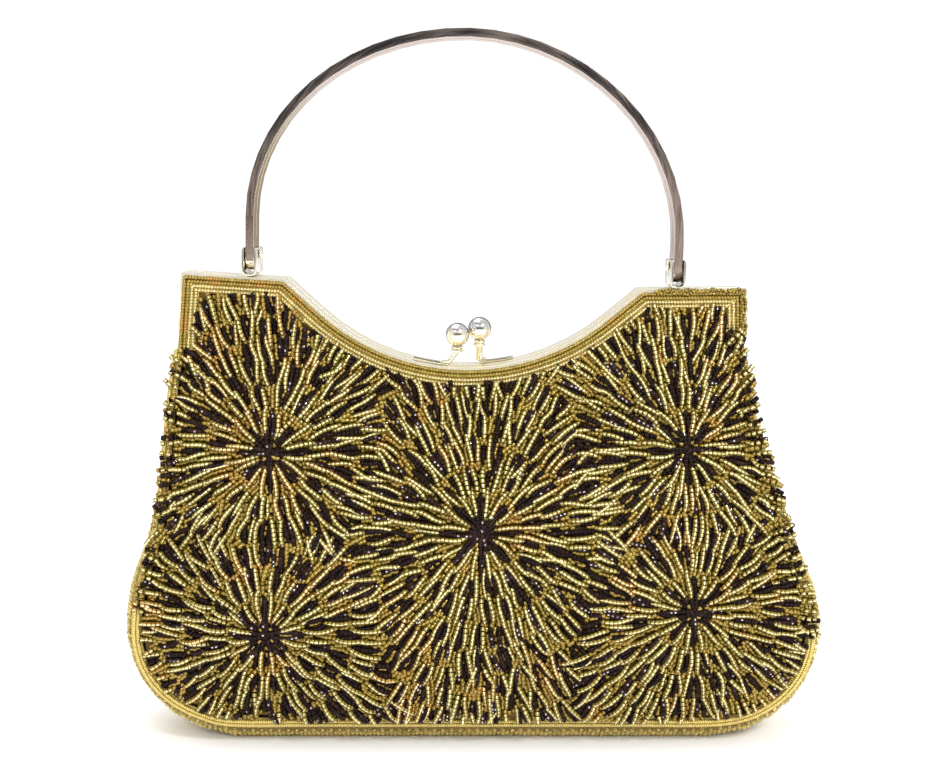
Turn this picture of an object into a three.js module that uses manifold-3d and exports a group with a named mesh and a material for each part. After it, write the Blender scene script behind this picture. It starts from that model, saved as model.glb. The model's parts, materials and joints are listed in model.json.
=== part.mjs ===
// A beaded evening bag with a rigid kiss-lock frame and a hinged arch handle.
// Millimetres, +X to the right seen from the front, +Y to the back, +Z up,
// with the origin at the middle of the flat bottom that the bag rests on.
import * as THREE from 'three';
import { mergeVertices } from 'three/addons/utils/BufferGeometryUtils.js';
import Module from 'manifold-3d';

const wasm = await Module();
wasm.setup();

// Metal frame: its corners, shoulders, dip and legs
const frameTopHeight = 170.3;
const frameHalfWidth = 101.5;
const frameHalfDepth = 8;
const frameWall = 0.8;
const frameLip = 1.8;
const frameSeam = 0.4;
const shoulderWidth = 37.1;
const shoulderDrop = 1.4;
const dipDepth = 30.2;
const dipSlope = THREE.MathUtils.degToRad(41);
const legLength = 28;
const legFlare = THREE.MathUtils.degToRad(4);

// How the frame has settled on the soft body: it leans and stands a little to the left,
// and the body leans with it only near the leg ends
const frameLean = THREE.MathUtils.degToRad(1.7);
const frameShift = -2.7;
const leanFromShare = 0.5;

// How the empty lower left corner has sagged up and inwards, past a reach and under a height
const cornerSag = 2;
const cornerSagDirection = new THREE.Vector3(0.9, 0, 0.44).normalize();
const cornerSagReach = 86;
const cornerSagReachRun = 18;
const cornerSagHeight = 75;
const cornerSagHeightRun = 30;

// Cloth body: piping line, walls and swell
const hemHeight = 8.8;
const hemHalfWidth = 88;
const hipHalfWidth = 123.5;
const hipHalfDepth = 21.5;
const clothWall = 2;
const panelCrown = 5.5;
const crownRun = 38;
const gussetSwell = 10.5;
const cornerRoundness = 2.05;
const gussetRoundness = 2.6;
const gussetHemOverhang = 0.8;

// Trim and piping
const trimWidth = 4.8;
const trimHeight = 1.4;
const pipingRadius = 1.7;

// Handle, its brackets and rivets
const handleInset = 22.7;
const handleDepth = 12;
const handleWall = 3;
const handleTopHeight = 88.6;
const handleSpringHeight = 21;
const handleRightSpringHeight = 15.8;
const handleRightRoundness = 1.95;
const seamGroove = 0.4;
const pinHeight = 7.3;
const pinRadius = 1.2;
const pinHeadRadius = 2.1;
const pinHeadHeight = 0.8;
const bracketDepth = 15;
const bracketWall = 0.7;
const bracketEarAbovePin = 2.2;

// Kiss-lock: two balls side by side on bent stalks
const claspCentre = 2.4;
const ballRadius = 4.35;
const ballHeight = 12.5;
const ballPairDirection = new THREE.Vector3(8.1, 3.3, 2.1).normalize();
const stalkRadius = 1.3;
const collarRadius = 2.1;
const footLength = 12.5;
const footWidth = 3;
const footWall = 0.8;
const stalkLean = 3.4;

// Rivets at the ends of the frame's legs
const hingeHeadRadius = 2.6;
const hingeHeadHeight = 0.7;
const hingeFromLegEnd = 4;

// Gaps: between touching pieces, and round a pin that turns
const seatGap = 0.3;
const runningGap = 0.4;
const seamGap = 0.5;

// The side seen from the front, from the hem (height 0) to the ends of the frame's legs (height 1).
// width is a share of the way from the leg ends' half width to the hips' half width,
// depth a share of the way from the frame's half depth to the hips' half depth,
// crown a share of panelCrown and swell a share of gussetSwell.
const sideRows = [
  { height: 0.0, width: 1.0, depth: 0.96, crown: 0.35, swell: 1.0 },
  { height: 0.12, width: 1.0, depth: 1.0, crown: 0.6, swell: 0.72 },
  { height: 0.25, width: 1.0, depth: 1.0, crown: 0.85, swell: 0.66 },
  { height: 0.34, width: 0.93, depth: 0.97, crown: 1.0, swell: 0.62 },
  { height: 0.53, width: 0.53, depth: 0.8, crown: 1.0, swell: 0.44 },
  { height: 0.79, width: 0.2, depth: 0.44, crown: 0.75, swell: 0.34 },
  { height: 1.0, width: 0.0, depth: 0.0, crown: 0.3, swell: 0.16 },
];
const hipShare = 0.25;

// Stations up the side, closer together round the lower corners, and the panels' rows and columns
const sideSteps = 16;
const sideStepPower = 1.5;
const hemSteps = 6;
const mouthSteps = 3;
const panelColumns = 22;
const gussetColumns = 8;

// Sizes that follow from the ones above
const handleHalfWidth = frameHalfWidth - handleInset;
const dipHalfWidth = frameHalfWidth - shoulderWidth;
const shoulderAngle = Math.atan2(shoulderDrop, shoulderWidth);
const dipArcHalfWidth =
  (dipHalfWidth * Math.tan(dipSlope) - dipDepth) / (Math.tan(dipSlope) - Math.tan(dipSlope / 2));
const dipRadius = dipArcHalfWidth / Math.sin(dipSlope);
const dipBottom = -shoulderDrop - dipDepth;
const legEndHeight = frameTopHeight - legLength;
const legEndHalfWidth = frameHalfWidth + legLength * Math.tan(legFlare) - frameLip / 2;
const panelEdgeInset = pipingRadius + seamGap;
const panelTopInset = frameWall + runningGap;
const panelMouthDepth = frameHalfDepth - frameWall - runningGap;
const flatBorder = frameLip + seatGap + trimWidth;

const materials = {
  beadedCloth: new THREE.MeshStandardMaterial({ color: 0x8a6f2c, roughness: 0.45, metalness: 0.3 }),
  piping: new THREE.MeshStandardMaterial({ color: 0xd9b84a, roughness: 0.35, metalness: 0.5 }),
  braid: new THREE.MeshStandardMaterial({ color: 0xb8953a, roughness: 0.5, metalness: 0.4 }),
  frameMetal: new THREE.MeshStandardMaterial({ color: 0xead9a0, roughness: 0.2, metalness: 1 }),
  handleMetal: new THREE.MeshStandardMaterial({ color: 0x8a7a6e, roughness: 0.35, metalness: 1 }),
  claspMetal: new THREE.MeshStandardMaterial({ color: 0xd8d5cc, roughness: 0.1, metalness: 1 }),
};

const bag = new THREE.Group();
bag.name = 'beaded_evening_bag';

// The metal parts stand on the body in a group that leans with the frame,
// with its origin in the middle between the frame's two top corners
const upper = new THREE.Group();
upper.position.set(frameShift, 0, frameTopHeight);
upper.rotation.y = frameLean;
bag.add(upper);

function smooth(value) {
  const share = THREE.MathUtils.clamp(value, 0, 1);
  return share * share * (3 - 2 * share);
}

// A geometry with shared corners and its faces pointing out
function closed(geometry) {
  geometry.deleteAttribute('normal');
  geometry.deleteAttribute('uv');
  const merged = mergeVertices(geometry, 1e-4);
  const place = merged.attributes.position;
  const corner = [0, 1, 2].map(() => new THREE.Vector3());
  const index = merged.index.array;
  let volume = 0;
  for (let i = 0; i < index.length; i += 3) {
    corner.forEach((point, k) => point.fromBufferAttribute(place, index[i + k]));
    volume += corner[0].dot(corner[1].clone().cross(corner[2]));
  }
  if (volume < 0) {
    for (let i = 0; i < index.length; i += 3) {
      [index[i], index[i + 1]] = [index[i + 1], index[i]];
    }
  }
  return merged;
}

function solid(geometry) {
  const merged = closed(geometry);
  const mesh = new wasm.Mesh({
    numProp: 3,
    vertProperties: new Float32Array(merged.attributes.position.array),
    triVerts: new Uint32Array(merged.index.array),
  });
  return new wasm.Manifold(mesh);
}

function geometryOf(manifold) {
  const mesh = manifold.getMesh();
  const geometry = new THREE.BufferGeometry();
  geometry.setAttribute('position', new THREE.BufferAttribute(mesh.vertProperties, 3));
  geometry.setIndex(new THREE.BufferAttribute(mesh.triVerts, 1));
  return geometry;
}

function addPiece(parent, name, geometry, material) {
  geometry.computeVertexNormals();
  const piece = new THREE.Mesh(geometry, material);
  piece.name = name;
  parent.add(piece);
  return piece;
}

// A closed bar: rings of points, one for each station, joined by faces and capped at both ends
function bar(rings, section) {
  const count = section.length;
  const positions = rings.flat().flatMap((point) => [point.x, point.y, point.z]);
  const index = [];
  for (let station = 0; station + 1 < rings.length; station += 1) {
    for (let k = 0; k < count; k += 1) {
      const a = station * count + k;
      const b = station * count + ((k + 1) % count);
      index.push(a, b, b + count, a, b + count, a + count);
    }
  }
  const last = (rings.length - 1) * count;
  for (const [a, b, c] of THREE.ShapeUtils.triangulateShape(section, [])) {
    const forward = THREE.ShapeUtils.area(section) > 0;
    index.push(...(forward ? [c, b, a] : [a, b, c]));
    index.push(...(forward ? [last + a, last + b, last + c] : [last + c, last + b, last + a]));
  }
  const geometry = new THREE.BufferGeometry();
  geometry.setAttribute('position', new THREE.Float32BufferAttribute(positions, 3));
  geometry.setIndex(index);
  return closed(geometry);
}

// Sweeps a section along a path that is drawn in the XZ plane, with mitred corners.
// The section's x is the way in from the path, and its y is added to the path's own depth.
function sweep(path, section) {
  const rings = path.map((point, i) => {
    const before = path[Math.max(i - 1, 0)];
    const after = path[Math.min(i + 1, path.length - 1)];
    const arriving = new THREE.Vector2(point.x - before.x, point.z - before.z).normalize();
    const leaving = new THREE.Vector2(after.x - point.x, after.z - point.z).normalize();
    const along = arriving.clone().add(leaving).normalize();
    const side = arriving.lengthSq() > 0 ? arriving : leaving;
    const mitre = 1 / Math.max(along.dot(side), 0.2);
    return section.map((corner) => new THREE.Vector3(
      point.x + along.y * corner.x * mitre,
      point.y + corner.y,
      point.z - along.x * corner.x * mitre,
    ));
  });
  return bar(rings, section);
}

// Height of the mouth's line over the leaning group's origin, at a distance inside the metal's edge
function mouthHeight(x, inset = 0) {
  const reach = Math.abs(x);
  const shoulder =
    (-shoulderDrop * (frameHalfWidth - reach)) / shoulderWidth - inset / Math.cos(shoulderAngle);
  const radius = dipRadius + inset;
  const arcEdge = radius * Math.sin(dipSlope);
  const onArc = Math.min(reach, arcEdge);
  const arc = dipBottom + dipRadius - Math.sqrt(radius * radius - onArc * onArc);
  const dip = arc + (reach - onArc) * Math.tan(dipSlope);
  return Math.min(shoulder, dip);
}

// The frame's outer line from the left leg's end over the mouth to the right leg's end
function framePath(legEnd = legLength) {
  const arcSteps = 14;
  const legFoot = frameHalfWidth + legEnd * Math.tan(legFlare);
  const path = [
    new THREE.Vector3(-legFoot, 0, -legEnd),
    new THREE.Vector3(-frameHalfWidth, 0, 0),
    new THREE.Vector3(-dipHalfWidth, 0, -shoulderDrop),
  ];
  for (let i = 0; i <= arcSteps; i += 1) {
    const angle = dipSlope * ((2 * i) / arcSteps - 1);
    const x = dipRadius * Math.sin(angle);
    path.push(new THREE.Vector3(x, 0, mouthHeight(x)));
  }
  path.push(
    new THREE.Vector3(dipHalfWidth, 0, -shoulderDrop),
    new THREE.Vector3(frameHalfWidth, 0, 0),
    new THREE.Vector3(legFoot, 0, -legEnd),
  );
  return path;
}

// One column of the side table at a height share, on a smooth curve through its rows
function sideValue(column, share) {
  const at = THREE.MathUtils.clamp(share, 0, 1);
  const last = sideRows.length - 2;
  const found = sideRows.findIndex((row, i) => i <= last && at <= sideRows[i + 1].height);
  const i = found < 0 ? last : found;
  const [from, to] = [sideRows[i], sideRows[i + 1]];
  const step = to.height - from.height;
  const slope = (a, b) => (b[column] - a[column]) / (b.height - a.height);
  const slopeFrom = i > 0 ? slope(sideRows[i - 1], to) : slope(from, to);
  const slopeTo = i < last ? slope(from, sideRows[i + 2]) : slope(from, to);
  const t = (at - from.height) / step;
  const hermite = new THREE.Vector4(
    (1 + 2 * t) * (1 - t) ** 2, t * (1 - t) ** 2, t * t * (3 - 2 * t), t * t * (t - 1));
  const ends = new THREE.Vector4(from[column], step * slopeFrom, to[column], step * slopeTo);
  return hermite.dot(ends);
}

// The seam between a face and the gusset, at a share of the way up from the hem to the leg's end:
// a rounded lower corner under the hips, and the side table over them
function seamPoint(share) {
  const z = hemHeight + share * (legEndHeight - seatGap - hemHeight);
  if (share < hipShare) {
    const down = 1 - Math.max(share, 0) / hipShare;
    const corner = (1 - down ** cornerRoundness) ** (1 / cornerRoundness);
    return { x: hemHalfWidth + (hipHalfWidth - hemHalfWidth) * corner, z };
  }
  return { x: legEndHalfWidth + (hipHalfWidth - legEndHalfWidth) * sideValue('width', share), z };
}

function sideHalfDepth(share) {
  return panelMouthDepth + (hipHalfDepth - panelMouthDepth) * sideValue('depth', share);
}

// Turns a point of the upright design into its place on the settled bag: low down it sits level
// with its left corner sagged in, and from the leg ends up it leans with the frame
function settle(point, share) {
  const sag = cornerSag
    * smooth((-point.x - cornerSagReach) / cornerSagReachRun)
    * smooth((cornerSagHeight - point.z) / cornerSagHeightRun);
  point.addScaledVector(cornerSagDirection, sag);
  const weight = smooth((share - leanFromShare) / (1 - leanFromShare));
  const x = point.x;
  const z = point.z - frameTopHeight;
  const leaningX = frameShift + x * Math.cos(frameLean) + z * Math.sin(frameLean);
  const leaningZ = frameTopHeight - x * Math.sin(frameLean) + z * Math.cos(frameLean);
  point.x += (leaningX - point.x) * weight;
  point.z += (leaningZ - point.z) * weight;
  return point;
}

function stationShare(step) {
  return (step / sideSteps) ** sideStepPower;
}

// The side edge of a panel's row: beside the piping up to the leg's end, and beside the leg over it
function panelEdge(row) {
  if (row <= sideSteps) {
    const share = stationShare(row);
    const at = seamPoint(share);
    const ahead = seamPoint(share + 1e-3);
    const run = Math.hypot(ahead.x - at.x, ahead.z - at.z);
    const x = at.x - (panelEdgeInset * (ahead.z - at.z)) / run;
    return { x, z: at.z + (panelEdgeInset * (ahead.x - at.x)) / run, share };
  }
  const up = (row - sideSteps) / mouthSteps;
  const x = frameHalfWidth + (1 - up) * legLength * Math.tan(legFlare) - panelEdgeInset;
  const top = frameTopHeight + mouthHeight(x, panelTopInset);
  return { x, z: legEndHeight + up * (top - legEndHeight), share: 1 };
}

// A face of the bag: a crowned wall from the hem to the mouth, held in the frame's channel
function panelGeometry() {
  const rows = sideSteps + mouthSteps;
  const sheet = new THREE.BoxGeometry(2, 1, rows, panelColumns, 1, rows);
  const place = sheet.attributes.position;
  const point = new THREE.Vector3();
  const hem = panelEdge(0);
  const corner = panelEdge(rows);
  for (let i = 0; i < place.count; i += 1) {
    const across = place.getX(i);
    const inner = place.getY(i) > 0;
    const edge = panelEdge(Math.round(place.getZ(i) + rows / 2));
    const top = frameTopHeight + mouthHeight(across * corner.x, panelTopInset);
    point.x = across * edge.x;
    point.z = hem.z + ((edge.z - hem.z) / (corner.z - hem.z)) * (top - hem.z);
    const fromSide = edge.x * (1 - Math.abs(across)) + panelEdgeInset;
    const fromMouth = (top - point.z) * Math.cos(dipSlope) + panelTopInset;
    const fade = smooth((fromSide - flatBorder) / crownRun) * smooth((fromMouth - flatBorder) / crownRun);
    const crown = panelCrown * sideValue('crown', edge.share) * fade;
    const swell = (sideHalfDepth(edge.share) - panelMouthDepth) * smooth(fromMouth / crownRun);
    point.y = (inner ? clothWall : 0) - panelMouthDepth - swell - crown;
    settle(point, edge.share);
    place.setXYZ(i, point.x, point.y, point.z);
  }
  return closed(sheet);
}

// The seam line from one leg end round the hem to the other, with the share of its height
function seamLine() {
  const left = [];
  for (let step = sideSteps; step >= 0; step -= 1) {
    const share = stationShare(step);
    const point = seamPoint(share);
    left.push({ x: -point.x, z: point.z, share });
  }
  const hem = [];
  for (let step = 1; step < hemSteps; step += 1) {
    hem.push({ x: hemHalfWidth * ((2 * step) / hemSteps - 1), z: hemHeight, share: 0 });
  }
  const right = left.map((stop) => ({ ...stop, x: -stop.x })).reverse();
  return [...left, ...hem, ...right];
}

// The strip between the faces: it swells outwards and is pressed flat where it rests
function gussetGeometry() {
  const line = seamLine();
  const stops = line.length - 1;
  const strip = new THREE.BoxGeometry(stops, 2, 1, stops, gussetColumns, 1);
  const place = strip.attributes.position;
  const point = new THREE.Vector3();
  for (let i = 0; i < place.count; i += 1) {
    const station = Math.round(place.getX(i) + stops / 2);
    const across = Math.sin((place.getY(i) * Math.PI) / 2);
    const inner = place.getZ(i) < 0;
    const stop = line[station];
    const before = line[Math.max(station - 1, 0)];
    const after = line[Math.min(station + 1, stops)];
    const along = new THREE.Vector2(after.x - before.x, after.z - before.z).normalize();
    const profile = (1 - Math.abs(across) ** gussetRoundness) ** (1 / gussetRoundness);
    const swell = gussetSwell * sideValue('swell', stop.share) - gussetHemOverhang;
    const out = gussetHemOverhang + swell * profile - (inner ? clothWall : 0);
    const halfDepth = sideHalfDepth(stop.share) - panelEdgeInset - (inner ? clothWall : 0);
    point.set(stop.x + along.y * out, across * halfDepth, stop.z - along.x * out);
    settle(point, stop.share);
    point.z = Math.max(point.z, inner ? clothWall : 0);
    place.setXYZ(i, point.x, point.y, point.z);
  }
  return closed(strip);
}

// A round cord laid along the seam
function pipingGeometry() {
  const sides = 8;
  const section = [];
  for (let k = 0; k < sides; k += 1) {
    const angle = ((k + 0.5) * 2 * Math.PI) / sides;
    section.push(new THREE.Vector2(pipingRadius * Math.cos(angle), pipingRadius * Math.sin(angle)));
  }
  const path = seamLine().map((stop) =>
    settle(new THREE.Vector3(stop.x, -sideHalfDepth(stop.share), stop.z), stop.share));
  return sweep(path, section);
}

// Half of the purse frame: a channel that holds the cloth's edge, notched for the hinge rivets
function frameGeometry() {
  const seam = frameSeam / 2;
  const front = frameHalfDepth;
  const section = [
    [0, -front], [frameLip, -front], [frameLip, frameWall - front], [frameWall, frameWall - front],
    [frameWall, -seam - frameWall], [frameLip, -seam - frameWall], [frameLip, -seam], [0, -seam],
  ].map(([inset, depth]) => new THREE.Vector2(inset, depth));
  let half = solid(sweep(framePath(), section));
  for (const side of [-1, 1]) {
    const hole = new THREE.CylinderGeometry(pinRadius + seatGap, pinRadius + seatGap, 4 * frameLip, 16);
    hole.applyMatrix4(hingePlace(side));
    half = half.subtract(solid(hole));
  }
  return geometryOf(half);
}

// Place of a hinge rivet: its axis crosses the leg near the leg's end
function hingePlace(side) {
  const down = legLength - hingeFromLegEnd;
  const turn = new THREE.Matrix4().makeRotationZ(-side * Math.PI / 2);
  const lean = new THREE.Matrix4().makeRotationY(-side * legFlare);
  const out = frameHalfWidth + down * Math.tan(legFlare);
  const move = new THREE.Matrix4().makeTranslation(side * out, 0, -down);
  return move.multiply(lean).multiply(turn);
}

// A rivet turned about Y, from its inner head's face up: two domed heads on one shank
function rivetGeometry(radius, headRadius, headHeight, grip, sides) {
  const half = grip / 2;
  const profile = [
    [0, -half - headHeight], [headRadius * 0.7, -half - headHeight], [headRadius, -half - headHeight / 3],
    [headRadius, -half], [radius, -half], [radius, half], [headRadius, half],
    [headRadius, half + headHeight / 3], [headRadius * 0.7, half + headHeight], [0, half + headHeight],
  ].map(([out, height]) => new THREE.Vector2(out, height));
  return new THREE.LatheGeometry(profile, sides);
}

// The trim: a low rounded strip on the cloth, inside the metal's edge all round
function trimGeometry() {
  const near = frameLip + seatGap;
  const far = near + trimWidth;
  const under = -panelMouthDepth - seatGap;
  const over = under - trimHeight;
  const soften = trimHeight / 2;
  const section = [
    [near, under], [near, over + soften], [near + soften, over], [far - soften, over],
    [far, over + soften], [far, under],
  ].map(([inset, depth]) => new THREE.Vector2(inset, depth));
  return sweep(framePath(legLength - seatGap), section);
}

// The arch handle: straight legs that run into a half ellipse, rounded about the pins.
// Use has pressed the right half of the arch a little flat.
function handleGeometry() {
  const archSteps = 28;
  const path = [new THREE.Vector3(-handleHalfWidth, 0, pinHeight)];
  for (let i = 0; i <= archSteps; i += 1) {
    const angle = Math.PI * (1 - i / archSteps);
    const onRight = i > archSteps / 2;
    const spring = onRight ? handleRightSpringHeight : handleSpringHeight;
    const power = 2 / (onRight ? handleRightRoundness : 2);
    const across = Math.sign(Math.cos(angle)) * Math.abs(Math.cos(angle)) ** power;
    const up = Math.sin(angle) ** power;
    path.push(new THREE.Vector3(
      handleHalfWidth * across, 0, spring + (handleTopHeight - spring) * up));
  }
  path.push(new THREE.Vector3(handleHalfWidth, 0, pinHeight));
  const half = handleDepth / 2;
  const groove = seamGroove / 2;
  const floor = handleWall - seamGroove;
  const section = [
    [0, -half], [handleWall, -half], [handleWall, -groove], [floor, -groove],
    [floor, groove], [handleWall, groove], [handleWall, half], [0, half],
  ].map(([inset, depth]) => new THREE.Vector2(inset, depth));
  let handle = solid(sweep(path, section));
  for (const side of [-1, 1]) {
    const foot = new THREE.CylinderGeometry(half, half, handleWall, 28);
    foot.rotateZ(Math.PI / 2);
    foot.translate(side * (handleHalfWidth - handleWall / 2), 0, pinHeight);
    handle = handle.add(solid(foot)).subtract(pinHole(side));
  }
  return geometryOf(handle);
}

function pinHole(side) {
  const hole = new THREE.CylinderGeometry(pinRadius + seatGap, pinRadius + seatGap, 6 * handleWall, 16);
  hole.rotateZ(Math.PI / 2);
  hole.translate(side * (handleHalfWidth - handleWall / 2), 0, pinHeight);
  return solid(hole);
}

// A bracket: a strip folded into a U that stands on the frame, with the handle's leg between its ears
function bracketGeometry(side) {
  const middle = handleHalfWidth - handleWall / 2;
  const halfWidth = handleWall / 2 + runningGap + bracketWall;
  const base = mouthHeight(middle - halfWidth) + shoulderDrop * (2 * halfWidth / shoulderWidth) + seatGap;
  const bend = 2 * bracketWall;
  const path = [new THREE.Vector3(-halfWidth, 0, pinHeight + bracketEarAbovePin)];
  const bendSteps = 3;
  for (const corner of [-1, 1]) {
    for (let i = 0; i <= bendSteps; i += 1) {
      const angle = (Math.PI / 2) * (corner < 0 ? i / bendSteps : 1 - i / bendSteps);
      path.push(new THREE.Vector3(
        corner * (halfWidth - bend + bend * Math.cos(angle)), 0, base + bend - bend * Math.sin(angle)));
    }
  }
  path.push(new THREE.Vector3(halfWidth, 0, pinHeight + bracketEarAbovePin));
  const half = bracketDepth / 2;
  const section = [
    new THREE.Vector2(0, -half), new THREE.Vector2(-bracketWall, -half),
    new THREE.Vector2(-bracketWall, half), new THREE.Vector2(0, half),
  ];
  const strip = sweep(path, section);
  strip.translate(side * middle, 0, 0);
  return geometryOf(solid(strip).subtract(pinHole(side)));
}

// Half of the kiss-lock: a foot on the frame, a bent stalk, a collar and a ball, soldered together.
// side is -1 for the front half, whose foot runs to the left, and 1 for the back half.
function claspGeometry(side) {
  const ball = new THREE.Vector3(claspCentre, 0, dipBottom + ballHeight);
  ball.addScaledVector(ballPairDirection, side * (ballRadius + seatGap / 2));
  const footStart = ball.x + (side < 0 ? -stalkLean : seatGap);
  const footEnd = footStart + side * footLength;
  const footY = side * (frameHalfDepth / 2);
  const footPath = [];
  const footSteps = 4;
  for (let i = 0; i <= footSteps; i += 1) {
    const x = Math.min(footStart, footEnd) + (Math.abs(footEnd - footStart) * i) / footSteps;
    footPath.push(new THREE.Vector3(x, footY, mouthHeight(x) + seatGap));
  }
  const section = [
    new THREE.Vector2(0, -footWidth / 2), new THREE.Vector2(-footWall, -footWidth / 2),
    new THREE.Vector2(-footWall, footWidth / 2), new THREE.Vector2(0, footWidth / 2),
  ];
  const collar = new THREE.Vector3(ball.x, ball.y, ball.z - ballRadius - stalkRadius);
  const heel = new THREE.Vector3(footStart, footY, mouthHeight(footStart) + seatGap + stalkRadius);
  const stalkPath = new THREE.CatmullRomCurve3([
    new THREE.Vector3(heel.x + side * stalkRadius * 2, heel.y, heel.z),
    heel,
    heel.clone().lerp(collar, 0.5),
    collar,
    ball,
  ]);
  const stalkSection = new THREE.Shape();
  stalkSection.absarc(0, 0, stalkRadius, 0, 2 * Math.PI);
  const stalk = new THREE.ExtrudeGeometry(stalkSection, {
    steps: 10, curveSegments: 8, bevelEnabled: false, extrudePath: stalkPath,
  });
  const ring = stalkRadius / 2;
  const neck = stalkRadius * 1.3;
  const profile = [
    [0, -ring], [collarRadius, -ring], [collarRadius, 0], [neck, ring / 2],
    [collarRadius, ring], [collarRadius, ring * 2], [0, ring * 2],
  ].map(([out, height]) => new THREE.Vector2(out, height));
  const collarRings = new THREE.LatheGeometry(profile, 12);
  collarRings.rotateX(Math.PI / 2);
  collarRings.translate(collar.x, collar.y, collar.z);
  const knob = new THREE.SphereGeometry(ballRadius, 14, 9);
  knob.rotateX(Math.PI / 2);
  knob.translate(ball.x, ball.y, ball.z);
  const soldered = solid(sweep(footPath, section)).add(solid(stalk));
  return geometryOf(soldered.add(solid(collarRings)).add(solid(knob)));
}

addPiece(bag, 'gusset', gussetGeometry(), materials.beadedCloth);
for (const [name, mirror] of [['front', 1], ['back', -1]]) {
  addPiece(bag, `${name}_panel`, panelGeometry(), materials.beadedCloth).scale.y = mirror;
  addPiece(bag, `edge_piping_${name}`, pipingGeometry(), materials.piping).scale.y = mirror;
  addPiece(upper, `mouth_trim_${name}`, trimGeometry(), materials.braid).scale.y = mirror;
  addPiece(upper, `${name}_frame`, frameGeometry(), materials.frameMetal).scale.y = mirror;
}
for (const [name, side] of [['left', -1], ['right', 1]]) {
  const hinge = rivetGeometry(
    pinRadius, hingeHeadRadius, hingeHeadHeight, frameLip + 2 * seatGap, 14);
  hinge.translate(0, -frameLip / 2, 0);
  hinge.applyMatrix4(hingePlace(side));
  addPiece(upper, `frame_hinge_${name}`, closed(hinge), materials.frameMetal);
  addPiece(upper, `handle_bracket_${name}`, bracketGeometry(side), materials.frameMetal);
  const grip = handleWall + 2 * (runningGap + bracketWall + seatGap);
  const rivet = rivetGeometry(pinRadius, pinHeadRadius, pinHeadHeight, grip, 14);
  rivet.rotateZ(Math.PI / 2);
  rivet.translate(side * (handleHalfWidth - handleWall / 2), 0, pinHeight);
  addPiece(upper, `handle_rivet_${name}`, closed(rivet), materials.frameMetal);
}
addPiece(upper, 'clasp_front', claspGeometry(-1), materials.claspMetal);
addPiece(upper, 'clasp_back', claspGeometry(1), materials.claspMetal);
addPiece(upper, 'handle', handleGeometry(), materials.handleMetal);

export default bag;
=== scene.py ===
import json
import math

import bpy
import numpy as np
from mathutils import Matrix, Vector
from mathutils.bvhtree import BVHTree

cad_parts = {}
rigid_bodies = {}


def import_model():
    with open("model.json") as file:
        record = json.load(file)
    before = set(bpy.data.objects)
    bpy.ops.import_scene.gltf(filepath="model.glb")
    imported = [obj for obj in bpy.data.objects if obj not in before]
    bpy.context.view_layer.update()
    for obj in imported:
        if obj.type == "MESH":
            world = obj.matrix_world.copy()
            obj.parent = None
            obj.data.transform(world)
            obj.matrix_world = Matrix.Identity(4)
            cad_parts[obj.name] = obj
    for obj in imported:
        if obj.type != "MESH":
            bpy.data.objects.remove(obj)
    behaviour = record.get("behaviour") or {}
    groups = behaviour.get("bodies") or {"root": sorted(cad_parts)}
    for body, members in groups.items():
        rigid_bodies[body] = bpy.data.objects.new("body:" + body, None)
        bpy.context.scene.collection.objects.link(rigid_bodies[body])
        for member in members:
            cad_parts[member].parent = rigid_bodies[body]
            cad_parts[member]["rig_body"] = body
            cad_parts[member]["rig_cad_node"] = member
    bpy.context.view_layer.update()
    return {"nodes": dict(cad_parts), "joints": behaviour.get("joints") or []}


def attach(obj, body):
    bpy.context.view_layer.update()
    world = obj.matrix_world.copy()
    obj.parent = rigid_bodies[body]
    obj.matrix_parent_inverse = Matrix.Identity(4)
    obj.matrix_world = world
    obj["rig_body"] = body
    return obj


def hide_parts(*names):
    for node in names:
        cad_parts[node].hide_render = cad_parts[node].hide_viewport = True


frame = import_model()


# Cloth of the two faces.
# Each face is cut from one piece of olive cotton, held in the frame's channel at the mouth and
# sewn to the gusset along the piping. The beads cover it, so it shows only in dark gaps.
cloth_inlay = 0.0006
weave_pitch = 0.0005
cloth_dark = (0.17, 0.11, 0.022, 1)
cloth_olive = (0.42, 0.29, 0.070, 1)


class Wire:
    """A node's output. Sums on it add Math nodes."""

    def __init__(self, finish, socket):
        self.finish = finish
        self.socket = socket

    def maths(self, operation, *others, ahead=()):
        values = dict(enumerate((*ahead, self, *others)))
        return self.finish.node("ShaderNodeMath", {"operation": operation}, values)

    def __add__(self, other):
        return self.maths("ADD", other)

    def __radd__(self, other):
        return self.maths("ADD", ahead=(other,))

    def __sub__(self, other):
        return self.maths("SUBTRACT", other)

    def __rsub__(self, other):
        return self.maths("SUBTRACT", ahead=(other,))

    def __mul__(self, other):
        return self.maths("MULTIPLY", other)

    def __rmul__(self, other):
        return self.maths("MULTIPLY", ahead=(other,))


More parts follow.
